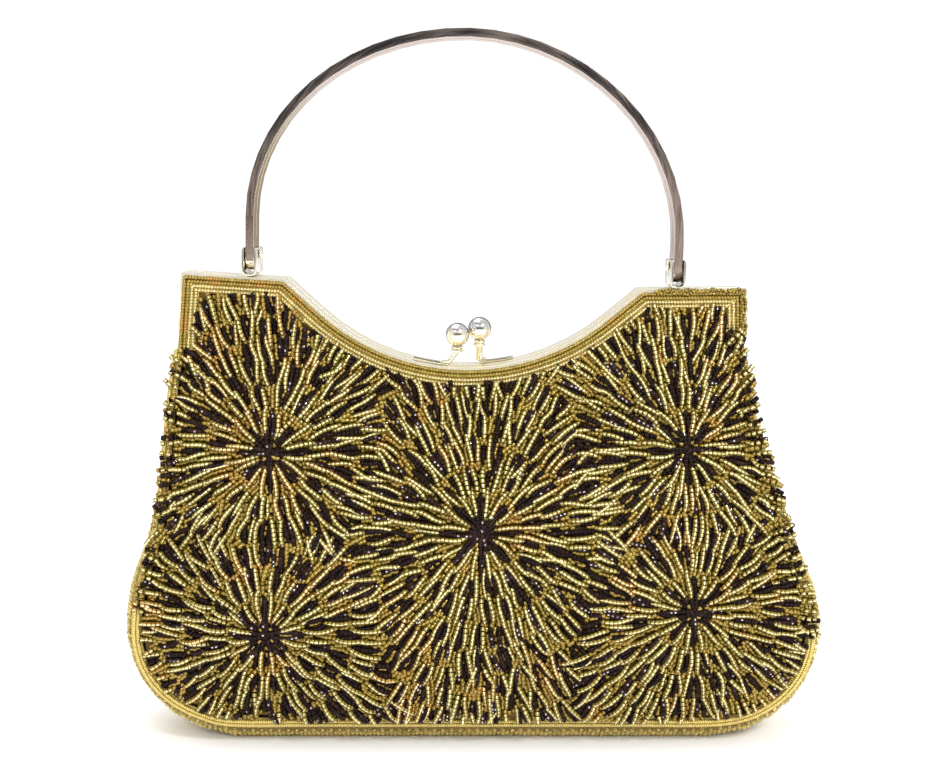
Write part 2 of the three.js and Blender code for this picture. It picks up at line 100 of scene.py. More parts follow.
class Finish:
    """A material on one Principled shader, built a node at a time."""

    def __init__(self, name, **constants):
        self.material = bpy.data.materials.new(name)
        self.material.use_nodes = True
        self.tree = self.material.node_tree
        self.shader = self.tree.nodes["Principled BSDF"]
        for socket, value in constants.items():
            self.shader.inputs[socket.replace("_", " ")].default_value = value

    def node(self, kind, settings=None, values=None, output=0):
        made = self.tree.nodes.new(kind)
        for name, setting in (settings or {}).items():
            setattr(made, name, setting)
        for socket, value in (values or {}).items():
            self.feed(made.inputs[socket], value)
        return Wire(self, made.outputs[output])

    def feed(self, socket, value):
        if isinstance(value, Wire):
            self.tree.links.new(value.socket, socket)
        else:
            socket.default_value = value

    def drive(self, socket, value):
        self.feed(self.shader.inputs[socket], value)

    def mix(self, share, low, high):
        return self.node("ShaderNodeMix", {"data_type": "RGBA"}, {0: share, 6: low, 7: high}, 2)

    def place(self):
        return self.node("ShaderNodeTexCoord", output="Object")

    def painted(self, name):
        return self.node("ShaderNodeAttribute", {"attribute_name": name}, output="Fac")

    def noise(self, size, detail=3.0, along=None):
        values = {"Vector": along or self.place(), "Scale": 1 / size, "Detail": detail}
        return self.node("ShaderNodeTexNoise", None, values)

    def between(self, value, low, high):
        """0 under low, 1 over high and smooth between them."""
        settings = {"interpolation_type": "SMOOTHSTEP"}
        return self.node("ShaderNodeMapRange", settings, {0: value, 1: low, 2: high})

    def bump(self, height, strength, distance):
        values = {"Height": height, "Strength": strength, "Distance": distance}
        self.drive("Normal", self.node("ShaderNodeBump", None, values))


def select_only(piece):
    bpy.ops.object.select_all(action="DESELECT")
    piece.select_set(True)
    bpy.context.view_layer.objects.active = piece


def copy_of_node(node, name, finish):
    """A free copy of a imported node, with its loose triangles merged into one skin."""
    piece = frame["nodes"][node].copy()
    piece.data = piece.data.copy()
    piece.name = piece.data.name = name
    piece.parent = None
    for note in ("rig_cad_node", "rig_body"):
        del piece[note]
    bpy.context.collection.objects.link(piece)
    piece.data.materials.clear()
    piece.data.materials.append(finish.material)
    select_only(piece)
    bpy.ops.object.mode_set(mode="EDIT")
    bpy.ops.mesh.select_all(action="SELECT")
    bpy.ops.mesh.remove_doubles(threshold=1e-6)
    bpy.ops.object.mode_set(mode="OBJECT")
    return piece


def finished(piece, body, slot, *nodes):
    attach(piece, body)
    if nodes:
        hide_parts(*nodes)
    return piece


def backing_cloth(node, name):
    """The cloth under the beads: the node's wall, smoothed and thinned to leave them room."""
    piece = copy_of_node(node, name, olive_cotton)
    bpy.ops.object.mode_set(mode="EDIT")
    bpy.ops.mesh.select_all(action="SELECT")
    bpy.ops.mesh.tris_convert_to_quads(face_threshold=math.radians(35), shape_threshold=math.radians(60))
    bpy.ops.mesh.subdivide(number_cuts=1, smoothness=0.6)
    bpy.ops.transform.shrink_fatten(value=-cloth_inlay)
    bpy.ops.object.mode_set(mode="OBJECT")
    bpy.ops.object.shade_smooth_by_angle(angle=math.radians(40))
    return finished(piece, "bag", "beaded_cloth", node)


olive_cotton = Finish("olive_cotton", Roughness=0.85)
weave_bands = {"wave_type": "BANDS", "bands_direction": "DIAGONAL"}
weave_lie = {"Vector": olive_cotton.place(), "Scale": 0.3 / weave_pitch, "Distortion": 1.0}
weave = olive_cotton.node("ShaderNodeTexWave", weave_bands, weave_lie, "Fac")
olive_cotton.drive("Base Color", olive_cotton.mix(
    weave * olive_cotton.noise(0.006), cloth_dark, cloth_olive))
olive_cotton.bump(weave, 0.5, 0.0002)

for name in ("front", "back"):
    backing_cloth(f"{name}_panel", f"{name}_cloth")


# Beadwork of the two faces.
# Glass seed beads, threaded in short strings that are stitched down at both ends. Each petal is
# two black strings between two splayed gold ones, and petals stand in rings round five bursts.
# Amber beads end the gold strings and fill the cloth between them.
bead_sides = 6
bead_girth = 0.00192
bead_length = 0.00139
bead_pitch = 0.00142
petal_width = 0.0070
petal_length = 0.0100
petal_wander = {"per_ring": 0.02, "most": 0.12}
petal_turn = {"least": 0.03, "per_ring": 0.03, "most": 0.15}
ring_count = 16
ring_step = 0.0086
ring_slide = 0.0013
first_ring = 0.0044
first_ring_petals = 8
gold_string = {"beads": 8, "side": 0.00115, "splay": 0.14, "bow": 0.00040, "seat": 0.0005, "arch": 0.0021}
black_string = {"beads": 6, "side": 0.00070, "splay": 0.0, "bow": 0.00045, "seat": 0.0005, "arch": 0.0014}
star_string = {"beads": 9, "side": 0.00010, "splay": 0.0, "bow": 0.00085, "seat": 0.0006, "arch": 0.0009}
gold_starts_within = 0.0008
gold_left_out = 0.14
black_starts_after = 0.0020
black_stretch = 1.08
long_arm_hub, short_arm_hub = 0.0003, 0.0036
loose_strings = (
    {"beads": 6, "arch": 0.0012, "clearance": 0.00160, "gold": 0.35},
    {"beads": 4, "arch": 0.0007, "clearance": 0.00150, "gold": 0.15},
    {"beads": 2, "arch": 0.0002, "clearance": 0.00130, "gold": 0.0},
    {"beads": 1, "arch": 0.0001, "clearance": 0.00120, "gold": 0.0},
)
loose_lie = {"side": 0.0, "splay": 0.0, "bow": 0.0, "seat": 0.00035}
loose_turn = 0.3
loose_dark = 0.3
amber_stretch, amber_swell = 1.1, 1.15
uneven = {"bow": 0.45, "arch": 0.22, "splay": 0.4, "sway": 0.00016, "tilt": 0.00004, "girth": 0.05}
string_roundness = 0.8
tone_of_string, tone_of_bead = 0.45, 0.55
# The further a burst reaches, the more of the face its petals take from those beside it.
bursts = (
    {"x": 0.0036, "z": 0.0802, "reach": 1.25, "long_arms": 8},
    {"x": -0.0719, "z": 0.1091, "reach": 1.0, "long_arms": 4},
    {"x": 0.0776, "z": 0.1098, "reach": 1.0, "long_arms": 4},
    {"x": -0.0738, "z": 0.0444, "reach": 0.97, "long_arms": 4},
    {"x": 0.0798, "z": 0.0527, "reach": 0.97, "long_arms": 4},
)
bare_piping_left, bare_piping_right = 0.052, 0.043
leg_under_beads = {"from_x": 0.0935, "to_x": 0.0978, "below_z": 0.153, "length": 0.027, "slope": 0.2}
petal_margin_cells = 4
gap_cell = 0.0005
gap_cells_around = 4
cell = 0.001
survey_low = np.array([-0.134, 0.002])
survey_size = (269, 178)
spread_rounds, smoothing_rounds = 60, 4
# The darkest gold and amber colours are painted shade for the beads' sides and underside, the palest a
# painted highlight along their tops.
gold_painted_shade = (0.15, 0.10, 0.012, 1)
gold_middle = (0.27, 0.20, 0.03, 1)
gold_painted_highlight = (1.0, 0.89, 0.49, 1)
gold_orange = (0.36, 0.17, 0.020, 1)
gold_green = (0.27, 0.24, 0.030, 1)
amber_painted_shade = (0.13, 0.08, 0.009, 1)
amber_middle = (0.25, 0.165, 0.018, 1)
amber_painted_highlight = (0.46, 0.31, 0.06, 1)
black_glass = (0.013, 0.0065, 0.0055, 1)
black_sheen = (0.052, 0.026, 0.022, 1)
# A whitish colour, a painted glint on the tops of a few black beads.
black_painted_glint = (0.90, 0.87, 0.88, 1)


def skin_of(*nodes):
    """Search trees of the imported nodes' surfaces."""
    trees = []
    for node in nodes:
        mesh = frame["nodes"][node].data
        corners = [v.co for v in mesh.vertices]
        trees.append(BVHTree.FromPolygons(corners, [tuple(p.vertices) for p in mesh.polygons]))
    return trees


def survey(trees):
    """Depth at which a ray from the front meets the skins, over a grid of x and z; nan where none."""
    depth = np.full(survey_size, np.nan)
    for i in range(survey_size[0]):
        for k in range(survey_size[1]):
            x, z = survey_low + cell * np.array((i, k))
            for tree in trees:
                hit = tree.ray_cast(Vector((x, -1, z)), Vector((0, 1, 0)))[0]
                if hit is not None:
                    depth[i, k] = hit.y
                    break
    return depth


def grown(mask, cells):
    for _ in range(cells):
        wide = mask.copy()
        wide[1:] |= mask[:-1]
        wide[:-1] |= mask[1:]
        wide[:, 1:] |= mask[:, :-1]
        wide[:, :-1] |= mask[:, 1:]
        mask = wide
    return mask


def shrunk(mask, cells):
    return ~grown(~mask, cells)


def spread(depth, rounds):
    """Fills the grid outwards from its known cells."""
    for _ in range(rounds):
        known = ~np.isnan(depth)
        if known.all():
            break
        total = np.zeros_like(depth)
        count = np.zeros_like(depth)
        for shift in ((1, 0), (-1, 0), (0, 1), (0, -1)):
            beside = np.roll(depth, shift, (0, 1))
            there = ~np.isnan(beside)
            total[there] += beside[there]
            count += there
        reachable = ~known & (count > 0)
        depth[reachable] = total[reachable] / count[reachable]
    return depth


def smoothed(depth, rounds):
    for _ in range(rounds):
        around = sum(np.roll(depth, shift, (0, 1)) for shift in ((1, 0), (-1, 0), (0, 1), (0, -1)))
        depth = 0.5 * depth + 0.125 * around
    return depth


panel_depth = survey(skin_of("front_panel"))
piping_skin = survey(skin_of("edge_piping_front"))
mouth_skin = survey(skin_of("mouth_trim_front", "front_frame"))
on_panel = ~np.isnan(panel_depth)
on_piping = ~np.isnan(piping_skin)
on_mouth = shrunk(grown(~np.isnan(mouth_skin), 2), 3)
widths = survey_low[0] + cell * np.arange(survey_size[0])[:, None]
heights = survey_low[1] + cell * np.arange(survey_size[1])[None, :]

# Higher up the beads reach over the piping, and on the right over the frame's leg as well.
over_bare = heights > np.where(widths < 0, bare_piping_left, bare_piping_right)
piping_under_beads = (on_piping | grown(on_piping, 1) & (widths > 0)) & over_bare
below_trim = leg_under_beads["below_z"] - heights
leg_edge = leg_under_beads["to_x"] + leg_under_beads["slope"] * below_trim
leg_under = (widths > leg_under_beads["from_x"]) & (widths < leg_edge)
leg_under &= (below_trim > 0) & (below_trim < leg_under_beads["length"])
on_cloth = on_panel & ~shrunk(on_piping, 1)
bead_room = (on_cloth | piping_under_beads) & ~on_mouth | leg_under
grown_room = grown(bead_room, petal_margin_cells)
for skin, covered in ((piping_skin, piping_under_beads), (mouth_skin, leg_under)):
    covered = covered & ~np.isnan(skin)
    panel_depth[covered] = skin[covered]
panel_depth = smoothed(spread(panel_depth, spread_rounds), smoothing_rounds)


def at_cell(grid, x, z):
    i = np.clip(np.rint((x - survey_low[0]) / cell).astype(int), 0, survey_size[0] - 1)
    k = np.clip(np.rint((z - survey_low[1]) / cell).astype(int), 0, survey_size[1] - 1)
    return grid[i, k]


def on_face(x, z):
    """Depth and outward direction of the front face at each x and z."""
    u = np.clip((x - survey_low[0]) / cell, 0, survey_size[0] - 2.001)
    v = np.clip((z - survey_low[1]) / cell, 0, survey_size[1] - 2.001)
    i, k = u.astype(int), v.astype(int)
    u, v = u - i, v - k
    near, right = panel_depth[i, k], panel_depth[i + 1, k]
    over, far = panel_depth[i, k + 1], panel_depth[i + 1, k + 1]
    depth = near * (1 - u) * (1 - v) + right * u * (1 - v) + over * (1 - u) * v + far * u * v
    across = ((right - near) * (1 - v) + (far - over) * v) / cell
    upward = ((over - near) * (1 - u) + (far - right) * u) / cell
    out = np.stack((across, -np.ones_like(across), upward), -1)
    return depth, out / np.linalg.norm(out, axis=-1, keepdims=True)


def one_bead():
    """A bead along Z, of unit width and length, as corners and faces."""
    bpy.ops.object.select_all(action="DESELECT")
    bpy.ops.mesh.primitive_cylinder_add(vertices=bead_sides, radius=0.5, depth=1.0, end_fill_type="NGON")
    bead = bpy.context.object
    corners = np.array([v.co for v in bead.data.vertices])
    faces = [tuple(p.vertices) for p in bead.data.polygons]
    bpy.data.objects.remove(bead)
    return corners, faces


bead_corners, bead_faces = one_bead()


class Tray:
    """Beads of one colour, gathered before they are made one mesh."""

    def __init__(self):
        self.rows = []

    def put(self, places, alongs, outs, girth, length, tones):
        count = len(places)
        row = np.empty((count, 12))
        row[:, 0:3] = places
        row[:, 3:6] = alongs
        row[:, 6:9] = outs
        row[:, 9] = girth
        row[:, 10] = length
        row[:, 11] = tones
        self.rows.append(row)

    def sewn(self, name, finish):
        beads = np.concatenate(self.rows)
        count = len(beads)
        along = beads[:, 3:6] / np.linalg.norm(beads[:, 3:6], axis=1, keepdims=True)
        side = np.cross(beads[:, 6:9], along)
        side /= np.linalg.norm(side, axis=1, keepdims=True)
        out = np.cross(along, side)
        local = bead_corners[None, :, :]
        corners = (beads[:, None, 0:3]
                   + local[:, :, 0:1] * side[:, None] * beads[:, None, 9:10]
                   + local[:, :, 1:2] * out[:, None] * beads[:, None, 9:10]
                   + local[:, :, 2:3] * along[:, None] * beads[:, None, 10:11])
        step = len(bead_corners)
        links = np.concatenate([np.array(face) for face in bead_faces])
        sizes = np.array([len(face) for face in bead_faces])
        links = (links[None, :] + step * np.arange(count)[:, None]).ravel()
        sizes = np.tile(sizes, count)
        starts = np.concatenate(([0], np.cumsum(sizes)[:-1]))
        mesh = bpy.data.meshes.new(name)
        mesh.vertices.add(step * count)
        mesh.vertices.foreach_set("co", corners.ravel())
        mesh.loops.add(len(links))
        mesh.loops.foreach_set("vertex_index", links)
        mesh.polygons.add(len(sizes))
        mesh.polygons.foreach_set("loop_start", starts)
        mesh.update(calc_edges=True)
        mesh.polygons.foreach_set("use_smooth", sizes < bead_sides)
        paint = {"lift": np.tile(2 * bead_corners[:, 1], count),
                 "end": np.tile(2 * bead_corners[:, 2], count),
                 "tone": np.repeat(beads[:, 11], step)}
        for kind, values in paint.items():
            mesh.attributes.new(kind, "FLOAT", "POINT").data.foreach_set("value", values)
        mesh.materials.append(finish.material)
        piece = bpy.data.objects.new(name, mesh)
        bpy.context.collection.objects.link(piece)
        return piece


def silver_lined_painted_light(name, edge, middle, bright, shift_low, shift_high):
    """Coloured glass over a silvered hole, with light painted on: painted shade on the sides and underside
    of each bead and a painted highlight along its top, fainter at its ends.
    """
    finish = Finish(name, Metallic=0.45, Roughness=0.24, Coat_Weight=0.3, Coat_Roughness=0.06)
    lift = finish.painted("lift")
    tone = finish.painted("tone")
    patch = finish.between(finish.noise(0.016), 0.50, 0.66)
    hue = finish.mix(finish.between(tone, 0.55, 1.0), middle, shift_low)
    hue = finish.mix(patch * finish.between(tone, 0.2, 0.6), hue, shift_high)
    # Painted shade: each bead darkens to its darkest colour on its sides and underside.
    body = finish.mix(finish.between(lift, 0.0, 0.6), edge, hue)
    # Painted highlight: each bead turns pale along its top, less so towards its ends.
    middle_of_bead = 1 - finish.between(finish.painted("end").maths("ABSOLUTE"), 0.55, 1.0)
    top = finish.between(lift + 0.10 * tone, 0.84, 1.02) * (0.75 + 0.25 * middle_of_bead)
    finish.drive("Base Color", finish.mix(top, body, bright))
    return finish


gold_beads = silver_lined_painted_light("gold_beads", gold_painted_shade, gold_middle, gold_painted_highlight, gold_green, gold_orange)
amber_beads = silver_lined_painted_light("amber_beads", amber_painted_shade, amber_middle, amber_painted_highlight, gold_green, gold_orange)
black_beads = Finish("black_beads", Specular_IOR_Level=0.1, Roughness=0.1)
# Painted glint: a few black beads turn whitish and metallic along their tops, away from their ends.
painted_glint = black_beads.between(black_beads.painted("tone"), 0.76, 0.84)
painted_glint = painted_glint * black_beads.between(black_beads.painted("lift"), 0.80, 0.97)
painted_glint = painted_glint * (1 - black_beads.between(black_beads.painted("end").maths("ABSOLUTE"), 0.25, 0.6))
glass = black_beads.mix(black_beads.between(black_beads.painted("tone"), 0.5, 1.0), black_glass, black_sheen)
black_beads.drive("Base Color", black_beads.mix(painted_glint, glass, black_painted_glint))
black_beads.drive("Metallic", painted_glint)


def laid_out(dice, start, heading, string, side):
    """Where the beads of one string lie in the face's plane, and how high over the cloth."""
    count = string["beads"]
    if count > 5:
        count += int(dice.integers(-1, 2))
    share = (np.arange(count) + 0.5) / count
    bow = string["bow"] * (1 + uneven["bow"] * dice.normal())
    arch = string["arch"] * (1 + uneven["arch"] * dice.normal())
    sway = uneven["sway"] * dice.normal()
    heading = heading + side * string["splay"] * (1 + uneven["splay"] * dice.normal())
    run = bead_pitch * count * share
    off = side * (string["side"] + bow * np.sin(np.pi * share)) + sway * np.sin(2 * np.pi * share)
    ahead = np.array((math.cos(heading), math.sin(heading)))
    left = np.array((-ahead[1], ahead[0]))
    flat = start + run[:, None] * ahead + off[:, None] * left
    return flat, string["seat"] + arch * np.sin(np.pi * share) ** string_roundness, ahead


def sew(tray, dice, flat, rise, ahead, side_sign, length=bead_length, size=1.0, ends=None):
    """Puts a laid out string on the front or back face, without the beads that miss the cloth.

    The first and last bead go to the tray of the ends, if there is one."""
    kept = at_cell(bead_room, flat[:, 0], flat[:, 1])
    count = len(flat)
    if kept.sum() < min(3, count):
        return
    depth, out = on_face(flat[:, 0], flat[:, 1])
    places = np.stack((flat[:, 0], depth, flat[:, 1]), -1) + rise[:, None] * out
    if count > 1:
        alongs = np.gradient(places, axis=0)
    else:
        alongs = np.array([[ahead[0], 0, ahead[1]]])
    alongs = alongs + uneven["tilt"] * dice.normal(size=alongs.shape)
    if side_sign > 0:
        for vectors in (places, alongs, out):
            vectors[:, 1] *= -1
    tones = np.clip(tone_of_string * dice.random() + tone_of_bead * dice.random(count), 0, 1)
    girth = size * bead_girth * (1 + uneven["girth"] * dice.normal(size=count))
    at_end = np.isin(np.arange(count), (0, count - 1)) if ends else np.zeros(count, bool)
    for taker, part in ((tray, kept & ~at_end), (ends, kept & at_end)):
        if part.any():
            taker.put(places[part], alongs[part], out[part], girth[part], length, tones[part])


burst_centres = np.array([(burst["x"], burst["z"]) for burst in bursts])
burst_reaches = np.array([burst["reach"] for burst in bursts])


def nearest_burst(spot):
    return (np.linalg.norm(burst_centres - spot, axis=1) / burst_reaches).argmin()


def petals(dice, own):
    """Ring, number, direction and start of each petal in a burst's own part of the face."""
    for ring in range(ring_count):
        inner = first_ring + ring * ring_step
        middle_way = inner + petal_length / 2
        count = round(2 * math.pi * middle_way / petal_width) if ring else first_ring_petals
        turn = (0.0, 0.5)[ring] if ring < 2 else dice.random()
        wander = min(petal_wander["most"], petal_wander["per_ring"] * ring) * petal_width / middle_way
        for number in range(count):
            angle = 2 * math.pi * (number + turn) / count + wander * dice.normal()
            spoke = np.array((math.cos(angle), math.sin(angle)))
            middle = burst_centres[own] + middle_way * spoke
            if nearest_burst(middle) != own or not at_cell(grown_room, *middle[:, None])[0]:
                continue
            slide = ring_slide * dice.normal() if ring else 0.0
            yield ring, number, angle, spoke, burst_centres[own] + (inner + slide) * spoke


def sew_bursts(dice, gold, black, amber, side_sign):
    """The petals of all bursts, and the black star in the middle of each."""
    for own, burst in enumerate(bursts):
        for ring, number, angle, spoke, start in petals(dice, own):
            for side in (-1, 1):
                turn = min(petal_turn["most"], petal_turn["least"] + petal_turn["per_ring"] * ring)
                heading = angle + turn * dice.normal()
                if ring < 2 or dice.random() > gold_left_out:
                    gold_start = start + gold_starts_within * dice.random() * spoke
                    laid = laid_out(dice, gold_start, heading, gold_string, side)
                    sew(gold, dice, *laid, side_sign, ends=amber)
                long_arm = number * burst["long_arms"] % first_ring_petals == 0
                if ring:
                    laid = laid_out(dice, start + black_starts_after * spoke, heading, black_string, side)
                elif long_arm:
                    hub = burst_centres[own] + long_arm_hub * spoke
                    laid = laid_out(dice, hub, angle, star_string, side)
                else:
                    hub = burst_centres[own] + short_arm_hub * spoke
                    laid = laid_out(dice, hub, angle, black_string, side)
                sew(black, dice, *laid, side_sign, black_stretch * bead_length)


gap_steps = np.arange(-gap_cells_around, gap_cells_around + 1)
gap_reach = np.stack(np.meshgrid(gap_steps, gap_steps, indexing="ij"), -1).reshape(-1, 2)


def crowd(gaps, flat):
    """Lowers each cell's distance from the nearest bead, round the given beads."""
    spots = np.rint((flat - survey_low) / gap_cell).astype(int)
    spots = spots[:, None] + gap_reach[None]
    spots = np.clip(spots, 0, np.array(gaps.shape) - 1)
    away = np.linalg.norm(survey_low + gap_cell * spots - flat[:, None], axis=2)
    np.minimum.at(gaps, (spots[..., 0].ravel(), spots[..., 1].ravel()), away.ravel())


def fill_gaps(dice, gold, black, amber, side_sign):
    """Loose strings, the longest first, wherever the other beads leave room for them."""
    gaps = np.full([int(cells * cell / gap_cell) for cells in survey_size], 1.0)
    for row in gold.rows + black.rows + amber.rows:
        crowd(gaps, row[:, (0, 2)])
    for string in loose_strings:
        string = {**loose_lie, **string}
        free = np.argwhere(gaps > string["clearance"])
        dice.shuffle(free)
        spots = survey_low + gap_cell * free
        inside = at_cell(bead_room, spots[:, 0], spots[:, 1])
        for (i, k), spot in zip(free[inside], spots[inside]):
            if gaps[i, k] <= string["clearance"]:
                continue
            ray = spot - burst_centres[nearest_burst(spot)]
            heading = math.atan2(ray[1], ray[0]) + loose_turn * dice.normal()
            ahead = np.array((math.cos(heading), math.sin(heading)))
            start = spot - 0.5 * string["beads"] * bead_pitch * ahead
            flat, rise, ahead = laid_out(dice, start, heading, string, 1)
            cells = np.rint((flat - survey_low) / gap_cell).astype(int)
            cells = np.clip(cells, 0, np.array(gaps.shape) - 1)
            if gaps[cells[:, 0], cells[:, 1]].min() <= string["clearance"]:
                continue
            dark = string["beads"] > 3 and dice.random() < loose_dark
            bright = dice.random() < string["gold"]
            if dark or bright:
                sew(black if dark else gold, dice, flat, rise, ahead, side_sign)
            else:
                sew(amber, dice, flat, rise, ahead, side_sign, amber_stretch * bead_length, amber_swell)
            crowd(gaps, flat)


def bead_a_face(name, side_sign, seed):
    """Gold, black and amber beads of one face. The back's bursts mirror the front's."""
    dice = np.random.default_rng(seed)
    gold, black, amber = Tray(), Tray(), Tray()
    sew_bursts(dice, gold, black, amber, side_sign)
    fill_gaps(dice, gold, black, amber, side_sign)
    for tray, colour, finish in ((gold, "gold", gold_beads), (black, "black", black_beads),
                                 (amber, "amber", amber_beads)):
        piece = tray.sewn(f"{name}_{colour}_beads", finish)
        finished(piece, "bag", "beaded_cloth")


bead_a_face("front", -1, 11)
bead_a_face("back", 1, 12)


# Gusset.
# A strip of the same cloth runs from leg to leg under the bag, between the two rows of piping. It
# is covered by rows of gold beads, sewn across it a little aslant and drawn down into it.
gusset_girth = 0.0019
gusset_row_step = 0.0016
gusset_seat = 0.0008
gusset_margin = 0.0012
gusset_bead_pitch = bead_pitch * 1.02
gusset_slant = 0.5
gusset_slant_spread = 0.25
gusset_girth_spread = 0.08
outside_gusset = 0.05
piping_corners = 8
piping_start = (-0.3, 0, 1)
# The darkest rope colour is painted shade for the beads' sides and underside, the palest a painted highlight
# along their tops.
rope_painted_shade = (0.34, 0.24, 0.055, 1)
rope_middle = (0.62, 0.47, 0.125, 1)
rope_painted_highlight = (0.98, 0.85, 0.45, 1)


def ring_centres(node, ring_size, start_from):
    """Centres of the rings of a swept node, from one end to the other."""
    piece = copy_of_node(node, "measured_" + node, olive_cotton)
    corners = np.array([v.co for v in piece.data.vertices])
    beside = {i: set() for i in range(len(corners))}
    for edge in piece.data.edges:
        a, b = edge.vertices
        beside[a].add(b)
        beside[b].add(a)
    bpy.data.objects.remove(piece)
    first = np.argmax(corners @ np.array(start_from))
    ring = set(np.argsort(np.linalg.norm(corners - corners[first], axis=1))[:ring_size].tolist())
    seen = set()
    centres = []
    while ring:
        centres.append(corners[sorted(ring)].mean(0))
        seen |= ring
        ring = set().union(*(beside[i] for i in ring)) - seen
    return np.array(centres)


def rounded_line(points, spans=8):
    """A smooth line through the points."""
    ends = np.concatenate((2 * points[:1] - points[1:2], points, 2 * points[-1:] - points[-2:-1]))
    t = (np.arange(spans) / spans)[:, None]
    stretches = []
    for a, b, c, d in zip(ends, ends[1:], ends[2:], ends[3:]):
        stretches.append(0.5 * (2 * b + (c - a) * t + (2 * a - 5 * b + 4 * c - d) * t ** 2
                                + (3 * b - a - 3 * c + d) * t ** 3))
    return np.concatenate(stretches + [points[-1:]])


def evenly(line, pitch):
    """Points a pitch apart along a line, and the line's direction there."""
    steps = np.linalg.norm(np.diff(line, axis=0), axis=1)
    run = np.concatenate(([0], np.cumsum(steps)))
    count = max(int(run[-1] / pitch), 2)
    stops = (np.arange(count) + 0.5) * run[-1] / count
    places = np.stack([np.interp(stops, run, line[:, i]) for i in range(3)], -1)
    alongs = np.gradient(places, axis=0)
    return places, alongs / np.linalg.norm(alongs, axis=1, keepdims=True)


piping_line = rounded_line(ring_centres("edge_piping_front", piping_corners, piping_start))
backing_cloth("gusset", "gusset_cloth")
gusset_skin = skin_of("gusset")[0]
gusset_tray = Tray()
gusset_dice = np.random.default_rng(13)
seam_places, seam_alongs = evenly(piping_line, gusset_row_step)
for station, (seam, along) in enumerate(zip(seam_places, seam_alongs)):
    outward = Vector((along[2], 0, -along[0]))
    half = abs(seam[1]) - gusset_margin
    count = max(int(2 * half / gusset_bead_pitch), 1)
    for k in range(count):
        across = half * (2 * (k + 0.5 + 0.5 * (station % 2)) / (count + 0.5) - 1)
        base = Vector((seam[0], across, seam[2]))
        hit, normal = gusset_skin.ray_cast(base + outward * outside_gusset, -outward)[:2]
        if hit is None:
            continue
        slant = gusset_slant * (1 if k % 2 else -1) + gusset_slant_spread * gusset_dice.normal()
        aim = np.array((0, math.cos(slant), 0)) + math.sin(slant) * along
        place = np.array(hit) - gusset_seat * np.array(normal)
        girth = gusset_girth * (1 + gusset_girth_spread * gusset_dice.normal())
        tone = gusset_dice.random()
        gusset_tray.put(place[None], aim[None], np.array(normal)[None], girth, bead_length, tone)
rope_beads = silver_lined_painted_light("rope_beads", rope_painted_shade, rope_middle, rope_painted_highlight, gold_green, rope_middle)
finished(gusset_tray.sewn("gusset_beads", rope_beads), "bag", "beaded_cloth")


# Piping.
# Four gold cords, each wound with fine thread, lie side by side over the seam between each face
# and the gusset, and are sewn down on it.
piping_strands = (
    {"turn": -84, "lay": 1},
    {"turn": -28, "lay": -1},
    {"turn": 28, "lay": 1},
    {"turn": 84, "lay": -1},
)
strand_radius = 0.00074
strand_sides = 10
piping_spread = 0.00118
thread_pitch = 0.00085
thread_gold = (0.95, 0.76, 0.22, 1)
thread_deep = (0.62, 0.43, 0.08, 1)
thread_shade = (0.20, 0.125, 0.018, 1)


def tube(name, line, outs, lay, finish):
    """A round cord along a line, painted with its twist in turns and how far each side faces out.

    A bevelled curve would carry no such paint, so its mesh is built ring by ring."""
    along = np.gradient(line, axis=0)
    along /= np.linalg.norm(along, axis=1, keepdims=True)
    side = np.cross(along, outs)
    side /= np.linalg.norm(side, axis=1, keepdims=True)
    up = np.cross(side, along)
    turns = 2 * np.pi * np.arange(strand_sides) / strand_sides - np.pi
    rings = (line[:, None] + strand_radius * np.sin(turns)[None, :, None] * side[:, None]
             + strand_radius * np.cos(turns)[None, :, None] * up[:, None])
    count = len(line)
    faces = []
    for i in range(count - 1):
        for k in range(strand_sides):
            a = i * strand_sides + k
            b = i * strand_sides + (k + 1) % strand_sides
            faces.append((a, a + strand_sides, b + strand_sides, b))
    faces.append(tuple(range(strand_sides)))
    faces.append(tuple(reversed(range((count - 1) * strand_sides, count * strand_sides))))
    mesh = bpy.data.meshes.new(name)
    mesh.from_pydata(rings.reshape(-1, 3).tolist(), [], faces)
    mesh.shade_smooth()
    run = np.concatenate(([0], np.cumsum(np.linalg.norm(np.diff(line, axis=0), axis=1))))
    twist = np.repeat(run, strand_sides) / thread_pitch + lay * np.tile(turns, count) / (2 * np.pi)
    mesh.attributes.new("twist", "FLOAT", "POINT").data.foreach_set("value", twist)
    lifts = np.tile(np.cos(turns), count)
    mesh.attributes.new("lift", "FLOAT", "POINT").data.foreach_set("value", lifts)
    mesh.materials.append(finish.material)
    piece = bpy.data.objects.new(name, mesh)
    bpy.context.collection.objects.link(piece)
    select_only(piece)
    bpy.ops.object.mode_set(mode="EDIT")
    bpy.ops.mesh.select_all(action="SELECT")
    bpy.ops.mesh.normals_make_consistent(inside=False)
    bpy.ops.object.mode_set(mode="OBJECT")
    return piece


def joined(name, pieces):
    select_only(pieces[0])
    for piece in pieces[1:]:
        piece.select_set(True)
    bpy.ops.object.join()
    pieces[0].name = pieces[0].data.name = name
    return pieces[0]


wound_cord = Finish("wound_cord", Metallic=0.4, Roughness=0.34, Sheen_Weight=0.2)
wraps = (wound_cord.painted("twist") * (2 * math.pi)).maths("SINE")
strays = wound_cord.noise(0.0009, 4.0)
threads = wound_cord.mix(wound_cord.between(wraps * 0.22 + strays, 0.30, 0.66), thread_deep, thread_gold)
wound_cord.drive("Base Color", wound_cord.mix(
    wound_cord.between(wound_cord.painted("lift"), 0.1, 0.85), thread_shade, threads))
wound_cord.drive("Roughness", 0.24 + 0.3 * strays)
wound_cord.bump(wraps + 2.0 * strays, 0.7, 0.00022)

